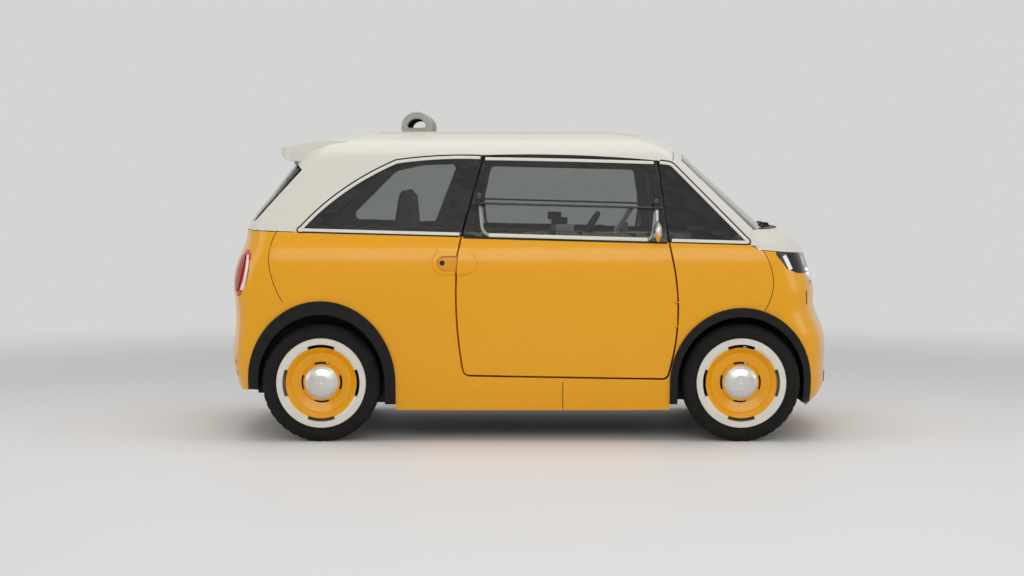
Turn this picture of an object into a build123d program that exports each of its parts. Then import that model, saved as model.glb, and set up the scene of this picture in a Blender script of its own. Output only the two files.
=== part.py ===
"""Two-seat micro city car with a roll-back canvas roof, built as separate panels in one shared frame."""
import math
import os

from build123d import *

os.makedirs("parts", exist_ok=True)

# Driving dimensions in millimetres: X runs forward, Y to the car's left, Z up from the ground
WHEELBASE = 2000
FRONT_AXLE_X = 1005
REAR_AXLE_X = FRONT_AXLE_X - WHEELBASE
WHEEL_Y = 630
TYRE_R = 281
TYRE_W = 165
BEAD_R = 192
AXLE_Z = TYRE_R
WALL = 65
PILLAR = 45
PANE = 6
DOOR_GAP = 9
TAIL_GAP = 8
TAIL_TOP = 1322
RUN_FIT = 0.05
SEAT_GAP = 0.3
SIDE_BOW = 20000
SILL_SPLIT_X = 155

# Plan rings of the lower body: height, tail, nose, half width
LOWER_LEVELS = [
    (150, -1420, 1400, 690),
    (200, -1446, 1451, 702),
    (290, -1467, 1478, 718),
    (424, -1480, 1480, 734),
    (510, -1470, 1470, 741),
    (590, -1467, 1436, 745),
    (660, -1471, 1421, 747),
    (745, -1477, 1415, 747),
    (810, -1468, 1396, 745),
    (887, -1440, 1372, 738),
    (932, -1420, 1344, 726),
    (962, -1411, 1310, 714),
    (1008, -1405, 1243, 698),
]
LOWER_CROWNS = (90, 110)
LOWER_CORNERS = (150, 200)

# Plan rings of the cabin above the belt: height, tail, nose, half width
UPPER_LEVELS = [
    (930, -1404, 1250, 727),
    (1008, -1403, 1164, 698),
    (1046, -1386, 1125, 684),
    (1150, -1306, 1010, 647),
    (1250, -1229, 900, 612),
    (1323, -1172, 819, 585),
    (1365, -1140, 776, 566),
    (1400, -1104, 732, 538),
    (1430, -1046, 665, 500),
    (1452, -956, 570, 452),
    (1466, -850, 455, 402),
    (1472, -750, 360, 355),
]
UPPER_CROWNS = (80, 92)
UPPER_CORNERS = (140, 95)
ROOF_TOP = UPPER_LEVELS[-1][0]
ROOF_DEPTH = 35
SPOILER_HALF = 505
SPOILER_BOW = 4000

# Side view lines as X, Z
BELT = [(-1600, 1015), (1050, 938), (1085, 914), (1600, 868)]
CABIN_FOOT = [(-1600, 1015), (1050, 938), (1062, 1000), (1600, 1000)]
REAR_SHUT = [(-1202, 1015), (-1242, 850), (-1165, 640)]
FRONT_SHUT = [(1106, 918), (1155, 765), (1110, 610)]
WINDSCREEN_EDGE = [(1072, 1001), (728, 1340), (752, 1392)]
TAIL_EDGE = [(-1322, 1052), (-1102, 1294), (-1142, 1332)]

# Wheel arches: half length and height of the panel edge and of the trim's inner edge
ARCHES = [
    (FRONT_AXLE_X, 340, 359, 303, 316),
    (REAR_AXLE_X, 354, 391, 303, 327),
]

# Door hinge line and skew of the door's shut faces, so that the inner edge swings clear
DOOR_SKEW = math.tan(math.radians(14))
SKIN_Y = -745
HINGE_X = 694
HINGE_Y = -732
HINGE_R = 2.5
BARREL_R = 6
TAIL_HINGE_X = -1166
TAIL_HINGE_Z = 1312

# Door handle oval
POD_X = -358
POD_Z = 851
POD_LONG = 198
POD_TALL = 99
POD_PROUD = 9
POD_RIM = 13
POD_CUP = 14
POD_FRONT_Y = -752
POD_FLANK = 45

# Arch trims, liners and lamps
TRIM_PROUD = 10
LINER_R = 345
FRONT_LINER_Y = 400
REAR_LINER_Y = 520
LAMP_DEPTH = 30
TAIL_LAMP_Y = -620
TAIL_LAMP_FRONT_X = -1290

# Mirror
MIRROR_R = 52
MIRROR_HALF = 24
MIRROR_PLACE = (602, -772, 1006)

# Floor, roof roll and axle ends
FLOOR_Z = 205
JACK_X = 480
JACK_Y = 470
SPINDLE_END = 668
ROLL_X = -550
ROLL_LONG = 184
ROLL_TALL = 98
ROLL_HALF = 330
ROLL_FOOT = 1480

# Steering
KINGPIN_Y = 600
KINGPIN_R = 12
SPINDLE_R = 20
COLUMN_AXIS = (-0.848, 0, 0.53)
STEER_WHEEL = (276, 330, 928)
STEER_WHEEL_R = 175


def plan_ring(level, crowns, corners, inset):
    """One closed ring in plan: four bowed sides with rounded corners."""
    z, tail, nose, half = level
    scale = half / LOWER_LEVELS[0][3]
    tail, nose, half = tail + inset, nose - inset, half - inset

    def side(x):
        return half - (SIDE_BOW - math.sqrt(SIDE_BOW ** 2 - x ** 2))

    nose_x = nose - crowns[1] * scale
    tail_x = tail + crowns[0] * scale
    mid_x = (nose_x + tail_x) / 2
    with BuildSketch(Plane.XY.offset(z)) as sketch:
        with BuildLine():
            ThreePointArc((nose_x, -side(nose_x)), (nose, 0), (nose_x, side(nose_x)))
            ThreePointArc((nose_x, side(nose_x)), (mid_x, side(mid_x)), (tail_x, side(tail_x)))
            ThreePointArc((tail_x, side(tail_x)), (tail, 0), (tail_x, -side(tail_x)))
            ThreePointArc((tail_x, -side(tail_x)), (mid_x, -side(mid_x)), (nose_x, -side(nose_x)))
        make_face()
        fillet(sketch.vertices().group_by(Axis.X)[-1], corners[1] - inset)
        fillet(sketch.vertices().group_by(Axis.X)[0], corners[0] - inset)
    return sketch.sketch.face()


def lower_loft(inset, past=0):
    """The lower body drawn in by an inset, run past its top and bottom when it is a cutter."""
    levels = list(LOWER_LEVELS)
    first, last = levels[0], levels[-1]
    if past:
        levels[0] = (first[0] - past, *first[1:])
        levels[-1] = (last[0] + past, *last[1:])
    return loft([plan_ring(level, LOWER_CROWNS, LOWER_CORNERS, inset) for level in levels]).solid()


def upper_loft(inset, depth=0, past=0):
    """The cabin drawn in by an inset, its roof lowered by a depth."""
    shoulder = UPPER_LEVELS[5][0]
    levels = []
    for z, tail, nose, half in UPPER_LEVELS:
        drop = depth * max(0, z - shoulder) / (ROOF_TOP - shoulder)
        levels.append((z - drop, tail, nose, half))
    levels[0] = (levels[0][0] - past, *levels[0][1:])
    return loft([plan_ring(level, UPPER_CROWNS, UPPER_CORNERS, inset) for level in levels]).solid()


def side_face(*points):
    """A straight-sided outline in the side view."""
    with BuildSketch(Plane.XZ) as sketch:
        with BuildLine():
            Polyline(*points, close=True)
        make_face()
    return sketch.sketch.face()


def across(face, y_from=-1000, y_to=1000, skew=0.0):
    """Runs a side view outline across the car, slanted forward by the skew."""
    start = face.moved(Location((skew * (y_from - SKIN_Y), y_from, 0)))
    return Solid.extrude(start, Vector(skew * (y_to - y_from), y_to - y_from, 0))


def box(x0, x1, y0, y1, z0, z1):
    """A box between limits."""
    return Pos((x0 + x1) / 2, (y0 + y1) / 2, (z0 + z1) / 2) * Box(x1 - x0, y1 - y0, z1 - z0)


def rod(start, end, radius):
    """A round bar between two points."""
    start, end = Vector(*start), Vector(*end)
    axis = end - start
    return Plane(origin=start, z_dir=axis) * Cylinder(
        radius, axis.length, align=(Align.CENTER, Align.CENTER, Align.MIN))


def flip(shape):
    """The same shape on the car's other side."""
    return mirror(shape, Plane.XZ)


def solids_of(*shapes):
    """All the solids in some shapes, slivers left out."""
    found = []
    for shape in shapes:
        found += [solid for solid in shape.solids() if solid.volume > 500]
    return found


def save(name, *shapes):
    """Writes one node."""
    solids = solids_of(*shapes)
    export_step(solids[0] if len(solids) == 1 else Compound(solids), f"parts/{name}.step")


def above(line, top=1700):
    """The region over a side view line."""
    return side_face(*line, (line[-1][0], top), (line[0][0], top))


def below(line, bottom=-100):
    """The region under a side view line."""
    return side_face(*line, (line[-1][0], bottom), (line[0][0], bottom))


def shut_region(points, far_x):
    """The region from a bowed vertical shut line to an end of the car."""
    top, middle, bottom = points
    with BuildSketch(Plane.XZ) as sketch:
        with BuildLine():
            ThreePointArc(top, middle, bottom)
            Polyline(bottom, (bottom[0], 0), (far_x, 0), (far_x, top[1]), top)
        make_face()
    return sketch.sketch.face()


def ellipse_face(x, a, b):
    """A wheel arch outline, carried down past the sill."""
    with BuildSketch(Plane.XZ) as sketch:
        with Locations((x, AXLE_Z)):
            Ellipse(a, b)
        with Locations((x, AXLE_Z - 150)):
            Rectangle(2 * a, 300)
    return sketch.sketch.face()


def door_face(grow):
    """The right door's outline in the side view, grown or shrunk for its gap."""
    with BuildSketch(Plane.XZ) as sketch:
        with BuildLine():
            Line((-266, 1356), (568, 1337))
            Line((568, 1337), (647, 958))
            ThreePointArc((647, 958), (694, 725), (642, 300))
            Line((642, 300), (-322, 318))
            ThreePointArc((-322, 318), (-353, 700), (-338, 977))
            Line((-338, 977), (-266, 1356))
        make_face()
        fillet(sketch.vertices().sort_by(Axis.Y)[:2], 32)
    return offset(sketch.sketch, amount=grow, kind=Kind.INTERSECTION).face() if grow else sketch.sketch.face()


def glass_face(grow=0):
    """The side glass area's outline, from the rear point over the arc to the windscreen pillar."""
    with BuildSketch(Plane.XZ) as sketch:
        with BuildLine():
            ThreePointArc((-1104, 990), (-905, 1183), (-640, 1338))
            ThreePointArc((-640, 1338), (-250, 1364), (620, 1338))
            Polyline((620, 1338), (684, 1332), (1056, 930), (1056, 850), (-1104, 850), (-1104, 990))
        make_face()
    return sketch.sketch.face()


def right_glass_hole(points, radius):
    """A rounded window aperture in the side view."""
    with BuildSketch(Plane.XZ) as sketch:
        with BuildLine():
            Polyline(*points, close=True)
        make_face()
        fillet(sketch.vertices(), radius)
    return sketch.sketch.face()


# Body shells and panels
lower_outer = lower_loft(0)
lower_inner = lower_loft(WALL, past=40)
lower_shell = lower_outer - lower_inner
lower_shell = lower_shell - across(above(BELT))
for arch_x, arch_a, arch_b, _, _ in ARCHES:
    lower_shell = lower_shell - across(ellipse_face(arch_x, arch_a, arch_b))
lower_shell = lower_shell - across(side_face((-1600, 225), (-1200, 250), (-1200, 0), (-1600, 0)))

rear_region = across(shut_region(REAR_SHUT, -1700))
front_region = across(shut_region(FRONT_SHUT, 1700))
front_bumper = lower_shell & front_region
rear_bumper = lower_shell & rear_region
flank = (lower_shell - front_region - rear_region) & box(-1700, 1700, -1000, 0, 0, 1700)
door_hole = across(door_face(DOOR_GAP / 2), -900, -250, DOOR_SKEW)
door_space = across(door_face(-DOOR_GAP / 2), -900, -250, DOOR_SKEW)
door_panel = flank & door_space
flank = flank - door_hole
quarter_panel = flank & box(-1700, SILL_SPLIT_X, -1000, 0, 0, 1700)
front_wing = flank & box(SILL_SPLIT_X, 1700, -1000, 0, 0, 1700)

# Cabin above the belt
upper_outer = upper_loft(0)
upper_pane = upper_loft(PANE, past=20)
upper_inner = upper_loft(PILLAR, ROOF_DEPTH, past=40)
foot = across(below(CABIN_FOOT))
upper_shell = upper_outer - upper_inner - foot
pane_layer = upper_outer - upper_pane - foot
frame_layer = upper_pane - upper_inner - foot
glass_area = across(glass_face(), -1000, -300)
sides = glass_area + flip(glass_area)
brow_region = across(side_face((640, 1600), (664, 1427), (690, 1320), (1040, 900), (1700, 900), (1700, 1600)))
screen_region = across(side_face(*WINDSCREEN_EDGE, (1700, 1392), (1700, 1001)))


def tail_region(grow):
    """The rear glass hatch's outline in the side view, grown or shrunk for its gap."""
    face = side_face(*TAIL_EDGE, (-1700, 1332), (-1700, 1052))
    return across(offset(face, amount=grow, kind=Kind.INTERSECTION).face())


tail_hole = tail_region(TAIL_GAP / 2)
tail_space = tail_region(-TAIL_GAP / 2) - box(-1700, 0, -1000, 1000, TAIL_TOP, 1700)
roof_open = box(-467, 380, -330, 330, 1380, 1600)
spoiler = across(side_face(
    (-880, 1462), (-1238, 1394), (-1233, 1386), (-1172, 1336), (-1010, 1336), (-880, 1400)), -SPOILER_HALF, SPOILER_HALF)
spoiler_plan = plan_ring((1300, -1240, 0, SPOILER_HALF), (60, 60), (80, 80), 0)
spoiler = spoiler & Solid.extrude(spoiler_plan, Vector(0, 0, 300))
spoiler = spoiler & rod((-1300, 0, 1462 - SPOILER_BOW), (-800, 0, 1462 - SPOILER_BOW), SPOILER_BOW)
roof_panel = upper_shell - sides - brow_region
roof_panel = roof_panel + (spoiler - upper_inner) - tail_hole - roof_open
windscreen_frame = (upper_shell & brow_region) - sides - screen_region
windscreen = pane_layer & screen_region
hood = (lower_outer - lower_inner) & across(above([(1062, 1100), (1062, 934), (1085, 914), (1600, 868)]))
hood = hood - upper_outer
cowl_panel = (lower_loft(WALL) & box(1040, 1300, -800, 800, 960, 996)) - upper_outer - hood

glass_right = glass_area - door_hole
side_pane = pane_layer & glass_right
side_frame = frame_layer & glass_right
side_frame = side_frame - across(right_glass_hole(
    [(-960, 1030), (-700, 1285), (-560, 1315), (-350, 1322), (-402, 1014)], 25), -1000, -300)
door_pane = pane_layer & door_space
door_frame = frame_layer & door_space
door_frame = door_frame - across(right_glass_hole(
    [(-262, 1010), (-196, 1310), (560, 1292), (612, 990)], 25), -1000, -300)

tail_glass = pane_layer & tail_space
tail_frame = frame_layer & tail_space
with BuildSketch(Plane.YZ) as tail_hole_sketch:
    with BuildLine():
        Polyline((-500, 1100), (-420, 1285), (420, 1285), (500, 1100), close=True)
    make_face()
    fillet(tail_hole_sketch.vertices(), 40)
tail_frame = tail_frame - Solid.extrude(
    tail_hole_sketch.sketch.face().moved(Location((-1700, 0, 0))), Vector(900, 0, 0))

# Door handle: a raised oval across the rear shut line, a pad on the door and a cup in the quarter panel
def pod_face(inset):
    """The handle's oval in the side view."""
    with BuildSketch(Plane.XZ) as sketch:
        with Locations((POD_X, POD_Z)):
            SlotOverall(POD_LONG - 2 * inset, POD_TALL - 2 * inset)
    return sketch.sketch.face()


pod_layer = lower_loft(-POD_PROUD) - lower_outer
pod_front = pod_face(3).moved(Location((0, POD_FRONT_Y, 0)))
pod = pod_layer & extrude(pod_front, amount=40, dir=(0, 1, 0), taper=-POD_FLANK)
door_panel = door_panel + (pod & door_space)
cup = across(pod_face(POD_RIM), -1000, -300)
quarter_panel = quarter_panel + (pod - cup - door_hole)
quarter_panel = quarter_panel - ((lower_loft(-POD_PROUD) - lower_loft(POD_CUP)) & cup)

# Door hinges: a barrel on the door's front edge stands on an ear of the wing
for hinge_z in (575, 690):
    def hinge_rod(radius, low, high):
        """A round bar on the door's hinge line."""
        return rod((HINGE_X, HINGE_Y, hinge_z + low), (HINGE_X, HINGE_Y, hinge_z + high), radius)

    leaf = box(HINGE_X - 12, HINGE_X, HINGE_Y - HINGE_R, HINGE_Y + HINGE_R, hinge_z - 20, hinge_z + 20)
    door_panel = door_panel - hinge_rod(HINGE_R + 5, -32, -20) + leaf + hinge_rod(HINGE_R, -20, 20)
    ear = box(HINGE_X, HINGE_X + 16, HINGE_Y - HINGE_R, HINGE_Y + HINGE_R, hinge_z - 26, hinge_z - 20 - SEAT_GAP)
    front_wing = front_wing + ear + hinge_rod(HINGE_R, -26, -20 - SEAT_GAP)

# Hatch hinges: bored barrels on the hatch frame turn on pins held by arms under the spoiler
for hinge_y in (-130, 130):
    def hatch_rod(radius, half):
        """A round bar on the hatch's hinge line."""
        return rod((TAIL_HINGE_X, hinge_y - half, TAIL_HINGE_Z), (TAIL_HINGE_X, hinge_y + half, TAIL_HINGE_Z), radius)

    notch = box(-1260, -1090, hinge_y - 45, hinge_y + 45, TAIL_HINGE_Z - 16, 1335)
    lug = box(TAIL_HINGE_X - 6, TAIL_HINGE_X + 8, hinge_y - 18, hinge_y + 18, TAIL_HINGE_Z - 30, TAIL_HINGE_Z)
    tail_glass = tail_glass - notch
    tail_frame = tail_frame - notch + lug + hatch_rod(BARREL_R, 18) - hatch_rod(HINGE_R + RUN_FIT, 30)
    roof_panel = roof_panel + hatch_rod(HINGE_R, 36)
    for arm_y in (hinge_y - 31, hinge_y + 31):
        roof_panel = roof_panel + box(
            TAIL_HINGE_X - 5, TAIL_HINGE_X + 16, arm_y - 5, arm_y + 5, TAIL_HINGE_Z - 5, 1346)

# Wheel arch trims, a finger's width proud of the skin, and liners behind them
trim_layer = (lower_loft(-TRIM_PROUD) - lower_inner) & box(-1700, 1700, -1000, 0, 0, 1700)
arch_trims = []
wheel_liners = []
for arch_x, arch_a, arch_b, edge_a, edge_b in ARCHES:
    band = across(ellipse_face(arch_x, arch_a, arch_b)) - across(ellipse_face(arch_x, edge_a, edge_b))
    trim = trim_layer & band
    trim = trim - box(-1700, 1700, -1000, 0, 0, 178)
    trim = trim - box(-1700, REAR_AXLE_X, -1000, 0, 0, 246)
    arch_trims.append(trim)
    inner_y = FRONT_LINER_Y if arch_x > 0 else REAR_LINER_Y
    tube = rod((arch_x, -900, AXLE_Z), (arch_x, -inner_y, AXLE_Z), LINER_R)
    hollow = rod((arch_x, -900, AXLE_Z), (arch_x, -inner_y - 6, AXLE_Z), LINER_R - 7)
    liner = ((tube - hollow) & lower_inner) - box(arch_x - 400, arch_x + 400, -900, 0, 0, 215)
    liner = liner - box(arch_x - 210, arch_x + 210, -inner_y - 7, -inner_y + 1, 0, 430)
    wheel_liners.append(liner)

# Lamps let into the bumpers
lamp_layer = lower_outer - lower_loft(LAMP_DEPTH)
lens_region = across(side_face((1168, 960), (1168, 893), (1221, 823), (1275, 802), (1600, 780), (1600, 960)), -1000, -330)
right_half = box(-1700, 1700, -1000, 0, 0, 1700)
head_lens = lamp_layer & lens_region & front_bumper
round_lamp = rod((1240, -490, 786), (1372, -490, 786), 40)
front_bumper = front_bumper - head_lens - flip(head_lens) - round_lamp - flip(round_lamp)
round_lamp = (round_lamp & lower_loft(-8)) - lower_inner - head_lens
with BuildSketch(Plane.YZ) as tail_lamp_sketch:
    with Locations((TAIL_LAMP_Y, 802)):
        Ellipse(58, 112)
tail_lamp_face = tail_lamp_sketch.sketch.face().moved(Location((-1700, 0, 0)))
tail_lamp_prism = Solid.extrude(tail_lamp_face, Vector(1700 + TAIL_LAMP_FRONT_X, 0, 0))
tail_lamp = (lower_loft(-5) - lower_loft(LAMP_DEPTH)) & tail_lamp_prism
tail_socket = (lower_outer - lower_loft(LAMP_DEPTH)) & tail_lamp_prism
rear_bumper = rear_bumper - tail_socket - flip(tail_socket)

save("front_bumper", front_bumper)
save("rear_bumper", rear_bumper)
save("quarter_panel_right", quarter_panel)
save("quarter_panel_left", flip(quarter_panel))
save("front_wing_right", front_wing)
save("front_wing_left", flip(front_wing))
save("door_panel_right", door_panel)
save("door_panel_left", flip(door_panel))
save("roof_panel", roof_panel)
save("windscreen_frame", windscreen_frame)
save("windscreen", windscreen)
save("front_hood", hood)
save("cowl_panel", cowl_panel)
save("side_windows", side_pane, flip(side_pane))
save("window_frames", side_frame, flip(side_frame))
save("door_window_right", door_pane)
save("door_window_left", flip(door_pane))
save("door_frame_right", door_frame)
save("door_frame_left", flip(door_frame))
save("tailgate_glass", tail_glass)
save("tailgate_frame", tail_frame)
save("arch_trims", *arch_trims, *[flip(trim) for trim in arch_trims])
save("wheel_liners", *wheel_liners, *[flip(liner) for liner in wheel_liners])
save("headlamps", head_lens, flip(head_lens))
save("round_lamps", round_lamp, flip(round_lamp))
save("tail_lamps", tail_lamp, flip(tail_lamp))

# Floor, bulkhead and boot floor
pockets = [
    box(FRONT_AXLE_X - LINER_R, FRONT_AXLE_X + LINER_R, -900, -FRONT_LINER_Y, 0, 700),
    box(REAR_AXLE_X - LINER_R, REAR_AXLE_X + LINER_R, -900, -REAR_LINER_Y, 0, 700),
]
pockets += [flip(pocket) for pocket in pockets]
floor = lower_inner & box(-1250, 1330, -900, 900, FLOOR_Z - 36, FLOOR_Z)
boot = lower_inner & box(-1500, -640, -900, 900, 405, 420)
for pocket in pockets:
    floor = floor - pocket
    boot = boot - pocket
riser = box(-655, -640, -REAR_LINER_Y, REAR_LINER_Y, FLOOR_Z, 405)
bulkhead = box(640, 658, -612, 612, FLOOR_Z, 955)
floorpan = floor + boot + riser + bulkhead
for pad_x in (-JACK_X, JACK_X):
    for pad_y in (-JACK_Y, JACK_Y):
        floorpan = floorpan + box(pad_x - 35, pad_x + 35, pad_y - 35, pad_y + 35, FLOOR_Z - 46, FLOOR_Z - 36)
save("floorpan", floorpan)

# Heavy masses
save("battery_pack", box(-560, 60, -420, 420, FLOOR_Z, 300))
save("drive_motor", box(-950, -760, -150, 150, FLOOR_Z + 20, 405))

# Front axle: cross member, towers and arms with eyes on the kingpins
front_axle = box(905, 1105, -FRONT_LINER_Y, FRONT_LINER_Y, FLOOR_Z, 245)
for side in (-1, 1):
    arms = box(FRONT_AXLE_X - 25, FRONT_AXLE_X + 25, -FRONT_LINER_Y - 20, -FRONT_LINER_Y + 40, 245, 389)
    arms = arms + box(FRONT_AXLE_X - 25, FRONT_AXLE_X + 25, -FRONT_LINER_Y - 20, -FRONT_LINER_Y, 173, 246)
    for arm_z in (173, 371):
        arms = arms + box(FRONT_AXLE_X - 20, FRONT_AXLE_X + 20, -KINGPIN_Y, -FRONT_LINER_Y, arm_z, arm_z + 18)
        arms = arms + rod((FRONT_AXLE_X, -KINGPIN_Y, arm_z), (FRONT_AXLE_X, -KINGPIN_Y, arm_z + 18), 26)
    arms = arms - rod((FRONT_AXLE_X, -KINGPIN_Y, 100), (FRONT_AXLE_X, -KINGPIN_Y, 500), KINGPIN_R + RUN_FIT)
    front_axle = front_axle + (arms if side < 0 else flip(arms))
save("front_axle", front_axle)

# Steered knuckles
knuckle = rod((FRONT_AXLE_X, -KINGPIN_Y, 166), (FRONT_AXLE_X, -KINGPIN_Y, 396), KINGPIN_R)
knuckle = knuckle + rod((FRONT_AXLE_X, -KINGPIN_Y, 197), (FRONT_AXLE_X, -KINGPIN_Y, 365), 22)
knuckle = knuckle + rod((FRONT_AXLE_X, -KINGPIN_Y, AXLE_Z), (FRONT_AXLE_X, -SPINDLE_END, AXLE_Z), SPINDLE_R)
save("knuckle_right", knuckle)
save("knuckle_left", flip(knuckle))

# Rear axle: beam, spindles and trailing arms
rear_axle = rod((REAR_AXLE_X, -622, AXLE_Z), (REAR_AXLE_X, 622, AXLE_Z), 30)
rear_axle = rear_axle + rod((REAR_AXLE_X, -SPINDLE_END, AXLE_Z), (REAR_AXLE_X, SPINDLE_END, AXLE_Z), SPINDLE_R)
trailing_arm = box(REAR_AXLE_X, -655, -505, -465, 255, 300) + box(-720, -655, -505, -465, FLOOR_Z, 300)
rear_axle = rear_axle + trailing_arm + flip(trailing_arm)
save("rear_axle", rear_axle)

# Wheels: a profile of radius against distance out from the wheel's middle plane, turned about its axle
def turned(points):
    """Turns a profile of radius and outward distance into a right wheel piece about the origin."""
    with BuildSketch(Plane.XY) as sketch:
        with BuildLine():
            Polyline(*[(radius, -out) for radius, out in points], close=True)
        make_face()
    return revolve(sketch.sketch, Axis.Y, 360)


def arc_slot(inner_r, outer_r, half_angle):
    """A slot through the wheel face, bounded by two arcs."""
    with BuildSketch(Plane.XZ) as sketch:
        with BuildLine():
            CenterArc((0, 0), outer_r, 90 - half_angle, 2 * half_angle)
            CenterArc((0, 0), inner_r, 90 - half_angle, 2 * half_angle)
            for angle in (90 - half_angle, 90 + half_angle):
                cos, sin = math.cos(math.radians(angle)), math.sin(math.radians(angle))
                Line((inner_r * cos, inner_r * sin), (outer_r * cos, outer_r * sin))
        make_face()
    return Solid.extrude(sketch.sketch.face().moved(Location((0, 0, 0))), Vector(0, -120, 0))


tyre = turned([
    (BEAD_R, -66), (224, -TYRE_W / 2), (266, -76), (TYRE_R, -58),
    (TYRE_R, 58), (266, 76), (224, TYRE_W / 2), (BEAD_R, 66)])
wheel = turned([
    (SPINDLE_R + RUN_FIT, 8), (60, 8), (66, 16), (105, 20), (160, 38), (178, 20), (178, -66), (BEAD_R, -66),
    (BEAD_R, 66), (214, 77.6), (212, 85), (182, 86), (166, 74), (142, 46), (98, 34), (90, 44), (SPINDLE_R + RUN_FIT, 44)])
for turn in range(4):
    for slot in (arc_slot(168, 184, 21), arc_slot(88, 98, 21)):
        wheel = wheel - slot.rotate(Axis.Y, 90 * turn)
hub_cap = turned([(0, 44), (79, 44), (79, 52), (64, 60), (36, 66), (0, 68)])
for name, x, left in (
        ("front_right", FRONT_AXLE_X, False), ("front_left", FRONT_AXLE_X, True),
        ("rear_right", REAR_AXLE_X, False), ("rear_left", REAR_AXLE_X, True)):
    for piece, shape in (("tyre", tyre), ("wheel", wheel), ("hub_cap", hub_cap)):
        placed = Pos(x, -WHEEL_Y, AXLE_Z) * shape
        save(f"{piece}_{name}", flip(placed) if left else placed)

# Dashboard, display and steering
def column_point(distance):
    """A point along the steering column, measured from the wheel's centre towards the driver."""
    return tuple(c + distance * a for c, a in zip(STEER_WHEEL, COLUMN_AXIS))


column = rod(column_point(-300), column_point(-40), 32)
stub_bore = rod(column_point(-110), column_point(0), 14 + RUN_FIT)
dashboard = fillet(box(470, 640, -600, 600, 770, 955).edges().filter_by(Axis.Y), 45)
dashboard = dashboard - column
save("dashboard", dashboard)
save("steering_column", column - stub_bore)
display = Plane(origin=(470, 0, 1030), x_dir=(0, 1, 0), z_dir=(-0.85, 0, 0.53)) * Box(300, 170, 14)
display = display + box(470, 500, -30, 30, 950, 1030)
save("display_panel", display - dashboard)
wheel_plane = Plane(origin=STEER_WHEEL, z_dir=COLUMN_AXIS)
steering_wheel = wheel_plane * Torus(STEER_WHEEL_R - 13, 13)
steering_wheel = steering_wheel + rod(column_point(-30), column_point(5), 48)
steering_wheel = steering_wheel + rod(column_point(-100), column_point(-20), 14)
for turn in (0, 120, 240):
    steering_wheel = steering_wheel + wheel_plane * Rot(0, 0, turn) * Pos(90, 0, -12) * Box(150, 30, 14)
save("steering_wheel", steering_wheel)

# Seats
cushion = fillet(box(-560, -60, -500, -70, 330, 470).edges(), 35)
base = box(-520, -100, -440, -130, 300, 335)
with BuildSketch(Plane.XZ) as back_sketch:
    with BuildLine():
        Polyline((-570, 440), (-470, 440), (-560, 1000), (-575, 1234), (-650, 1234), (-690, 980), close=True)
    make_face()
    fillet(back_sketch.vertices(), 30)
seat_back = across(back_sketch.sketch.face(), -480, -90)
seat = cushion + base + seat_back
save("seat_right", seat)
save("seat_left", flip(seat))

# Roof: fixed frame round the opening and the rolled canvas behind it
frame_ring = across(side_face((-740, 1440), (-740, 1480), (378, 1480), (532, 1466), (532, 1420)), -380, 380)
sunroof_frame = frame_ring - roof_open - upper_outer
save("sunroof_frame", sunroof_frame)
def roll_outline(long, tall, shift):
    """A flat-bottomed arch standing on the sunroof frame."""
    bottom = ROLL_FOOT + shift
    with BuildSketch(Plane.XZ) as sketch:
        with BuildLine():
            Line((ROLL_X - long / 2, bottom), (ROLL_X + long / 2, bottom))
            Line((ROLL_X + long / 2, bottom), (ROLL_X + long / 2, bottom + tall * 0.35))
            ThreePointArc((ROLL_X + long / 2, bottom + tall * 0.35), (ROLL_X, bottom + tall),
                          (ROLL_X - long / 2, bottom + tall * 0.35))
            Line((ROLL_X - long / 2, bottom + tall * 0.35), (ROLL_X - long / 2, bottom))
        make_face()
        fillet(sketch.vertices().group_by(Axis.Y)[0], 12)
    return sketch.sketch.face()


roof_roll = across(roll_outline(ROLL_LONG, ROLL_TALL, 0), -ROLL_HALF, ROLL_HALF)
roof_roll = roof_roll - across(roll_outline(ROLL_LONG - 86, ROLL_TALL - 52, 8))
save("roof_roll", roof_roll)

# Door furniture: the window rail on its two posts with ball knobs, and the lens-shaped mirror on its arm
rail = rod((-264, -663, 1137), (632, -657, 1112), 5)
for post_x, post_z in ((-243, 1136), (599, 1113)):
    rail = rail + box(post_x - 11, post_x + 11, -672, -630, post_z - 14, post_z + 14)
    rail = rail + rod((post_x, -664, post_z), (post_x, -664, post_z + 26), 7)
    rail = rail + Pos(post_x, -664, post_z + 26) * Sphere(16)
rail = rail - upper_outer
save("window_rail_right", rail)
save("window_rail_left", flip(rail))
lens_r = (MIRROR_R ** 2 + MIRROR_HALF ** 2) / (2 * MIRROR_HALF)
lens_middle = lens_r - MIRROR_HALF
half_turn = (math.pi + math.atan2(MIRROR_R, -lens_middle)) / 2
bulge_x = lens_middle + lens_r * math.cos(half_turn)
bulge_y = lens_r * math.sin(half_turn)
lens_edge = ThreePointArc((-MIRROR_HALF, 0), (bulge_x, bulge_y), (0, MIRROR_R))
lens_edge = lens_edge + ThreePointArc((0, MIRROR_R), (-bulge_x, bulge_y), (MIRROR_HALF, 0))
lens_edge = lens_edge + Line((MIRROR_HALF, 0), (-MIRROR_HALF, 0))
mirror_shell = revolve(make_face(lens_edge), Axis.X)
mirror_right = Pos(*MIRROR_PLACE) * mirror_shell
mirror_right = mirror_right + rod((602, -668, 1100), (602, -714, 1006), 8) + Pos(602, -714, 1006) * Sphere(8)
mirror_right = mirror_right + rod((602, -714, 1006), (602, -740, 1006), 8)
mirror_right = mirror_right - rail
save("mirror_right", mirror_right)
save("mirror_left", flip(mirror_right))
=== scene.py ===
"""Looks for the micro city car: finishes, trims, lamps, tyres, cabin and studio round the CAD frame."""

import math

import bmesh
import bpy
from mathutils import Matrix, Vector, noise
from mathutils.bvhtree import BVHTree


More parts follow.
